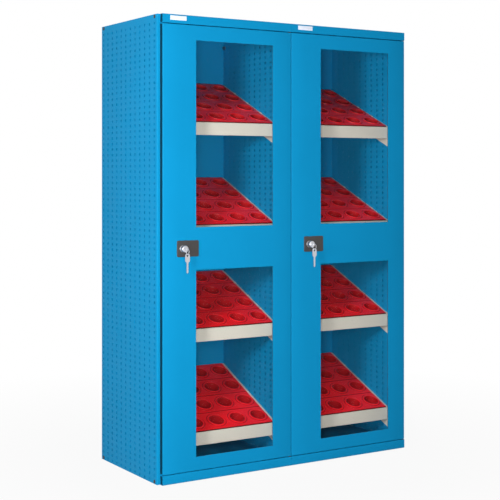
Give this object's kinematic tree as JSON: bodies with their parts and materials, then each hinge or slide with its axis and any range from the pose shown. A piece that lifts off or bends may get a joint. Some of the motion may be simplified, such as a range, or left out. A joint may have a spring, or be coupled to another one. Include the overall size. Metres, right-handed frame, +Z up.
{
  "type": "storage cabinet",
  "caption": "Light blue sheet-steel storage cabinet with side-by-side windowed doors, knob locks with keys, and tilted beige racks of red tool-holder sockets",
  "frame": {"origin": "on the floor under the middle of the outline, keys included", "axes": "X runs to the right across the doors, Y from the doors to the back, Z up"},
  "size_m": [1.35, 0.6352, 2],
  "materials": {
    "cabinet_paint": "satin light blue powder coat",
    "rack_paint": "satin beige powder coat",
    "strip_plastic": "moulded red plastic",
    "cap_plastic": "black plastic cap",
    "lock_plastic": "dark grey plastic",
    "clear_sheet": "clear acrylic sheet",
    "bright_metal": "polished plating",
    "plain_steel": "zinc plated steel",
    "label_plastic": "blank white card under clear plastic",
    "seal_rubber": "black rubber profile"
  },
  "bodies": {
    "cabinet": {"end_panel_left": "cabinet_paint", "end_panel_right": "cabinet_paint", "end_panel_screws": "cap_plastic", "left_bay_left_wall": "cabinet_paint", "left_bay_right_wall": "cabinet_paint", "right_bay_left_wall": "cabinet_paint", "right_bay_right_wall": "cabinet_paint", "joining_bolts": "plain_steel", "joining_nuts": "plain_steel", "left_bay_roof": "cabinet_paint", "left_bay_base": "cabinet_paint", "left_bay_back_panel": "cabinet_paint", "left_bay_plinth": "cabinet_paint", "left_bay_top_rail": "cabinet_paint", "right_bay_roof": "cabinet_paint", "right_bay_base": "cabinet_paint", "right_bay_back_panel": "cabinet_paint", "right_bay_plinth": "cabinet_paint", "right_bay_top_rail": "cabinet_paint", "hinge_pins": "plain_steel", "label_holders": "label_plastic", "left_tool_rack_1": "rack_paint", "left_tool_rack_2": "rack_paint", "left_tool_rack_3": "rack_paint", "left_tool_rack_4": "rack_paint", "left_tool_strips": "strip_plastic", "right_tool_rack_1": "rack_paint", "right_tool_rack_2": "rack_paint", "right_tool_rack_3": "rack_paint", "right_tool_rack_4": "rack_paint", "right_tool_strips": "strip_plastic"},
    "left_door": {"left_door_panel": "cabinet_paint", "left_door_window_seals": "seal_rubber", "left_door_window_panes": "clear_sheet", "left_door_window_retainers": "plain_steel", "left_hinge_bushes": "cap_plastic", "left_lock_plate": "lock_plastic", "left_lock_sleeve": "plain_steel", "left_rod_guides": "plain_steel"},
    "left_lock": {"left_lock_knob": "bright_metal", "left_lock_key": "bright_metal", "left_lock_cam": "plain_steel"},
    "left_keys": {"left_key_ring": "bright_metal"},
    "left_upper_rod": {"left_upper_rod": "plain_steel"},
    "left_lower_rod": {"left_lower_rod": "plain_steel"},
    "right_door": {"right_door_panel": "cabinet_paint", "right_door_window_seals": "seal_rubber", "right_door_window_panes": "clear_sheet", "right_door_window_retainers": "plain_steel", "right_hinge_bushes": "cap_plastic", "right_lock_plate": "lock_plastic", "right_lock_sleeve": "plain_steel", "right_rod_guides": "plain_steel"},
    "right_lock": {"right_lock_knob": "bright_metal", "right_lock_key": "bright_metal", "right_lock_cam": "plain_steel"},
    "right_keys": {"right_key_ring": "bright_metal"},
    "right_upper_rod": {"right_upper_rod": "plain_steel"},
    "right_lower_rod": {"right_lower_rod": "plain_steel"}
  },
  "joints": [
    {"name": "left_door_hinge", "type": "hinge", "parent": "cabinet", "child": "left_door", "pos_m": [-0.0075, -0.25135, 1], "axis": [0, 0, 1], "range_deg": [0, 105]},
    {"name": "left_lock_turn", "type": "hinge", "parent": "left_door", "child": "left_lock", "pos_m": [-0.563, -0.25735, 1], "axis": [0, -1, 0], "range_deg": [0, 90]},
    {"name": "left_upper_rod_slide", "type": "slide", "parent": "left_door", "child": "left_upper_rod", "axis": [0, 0, 1], "range_m": [0, 0.016]},
    {"name": "left_lower_rod_slide", "type": "slide", "parent": "left_door", "child": "left_lower_rod", "axis": [0, 0, -1], "range_m": [0, 0.016]},
    {"name": "left_keys_swing", "type": "hinge", "parent": "left_lock", "child": "left_keys", "pos_m": [-0.563, -0.30365, 1], "axis": [0, 1, 0], "range_deg": [-25, 25]},
    {"name": "right_door_hinge", "type": "hinge", "parent": "cabinet", "child": "right_door", "pos_m": [0.6505, -0.25135, 1], "axis": [0, 0, 1], "range_deg": [0, 105]},
    {"name": "right_lock_turn", "type": "hinge", "parent": "right_door", "child": "right_lock", "pos_m": [0.095, -0.25735, 1], "axis": [0, -1, 0], "range_deg": [0, 90]},
    {"name": "right_upper_rod_slide", "type": "slide", "parent": "right_door", "child": "right_upper_rod", "axis": [0, 0, 1], "range_m": [0, 0.016]},
    {"name": "right_lower_rod_slide", "type": "slide", "parent": "right_door", "child": "right_lower_rod", "axis": [0, 0, -1], "range_m": [0, 0.016]},
    {"name": "right_keys_swing", "type": "hinge", "parent": "right_lock", "child": "right_keys", "pos_m": [0.095, -0.30365, 1], "axis": [0, 1, 0], "range_deg": [-25, 25]}
  ],
  "couplings": [
    {"joint": "left_lock_turn", "follows": "left_upper_rod_slide", "rad_per_m": 98.175},
    {"joint": "left_lower_rod_slide", "follows": "left_upper_rod_slide", "ratio": 1},
    {"joint": "right_lock_turn", "follows": "right_upper_rod_slide", "rad_per_m": 98.175},
    {"joint": "right_lower_rod_slide", "follows": "right_upper_rod_slide", "ratio": 1}
  ]
}
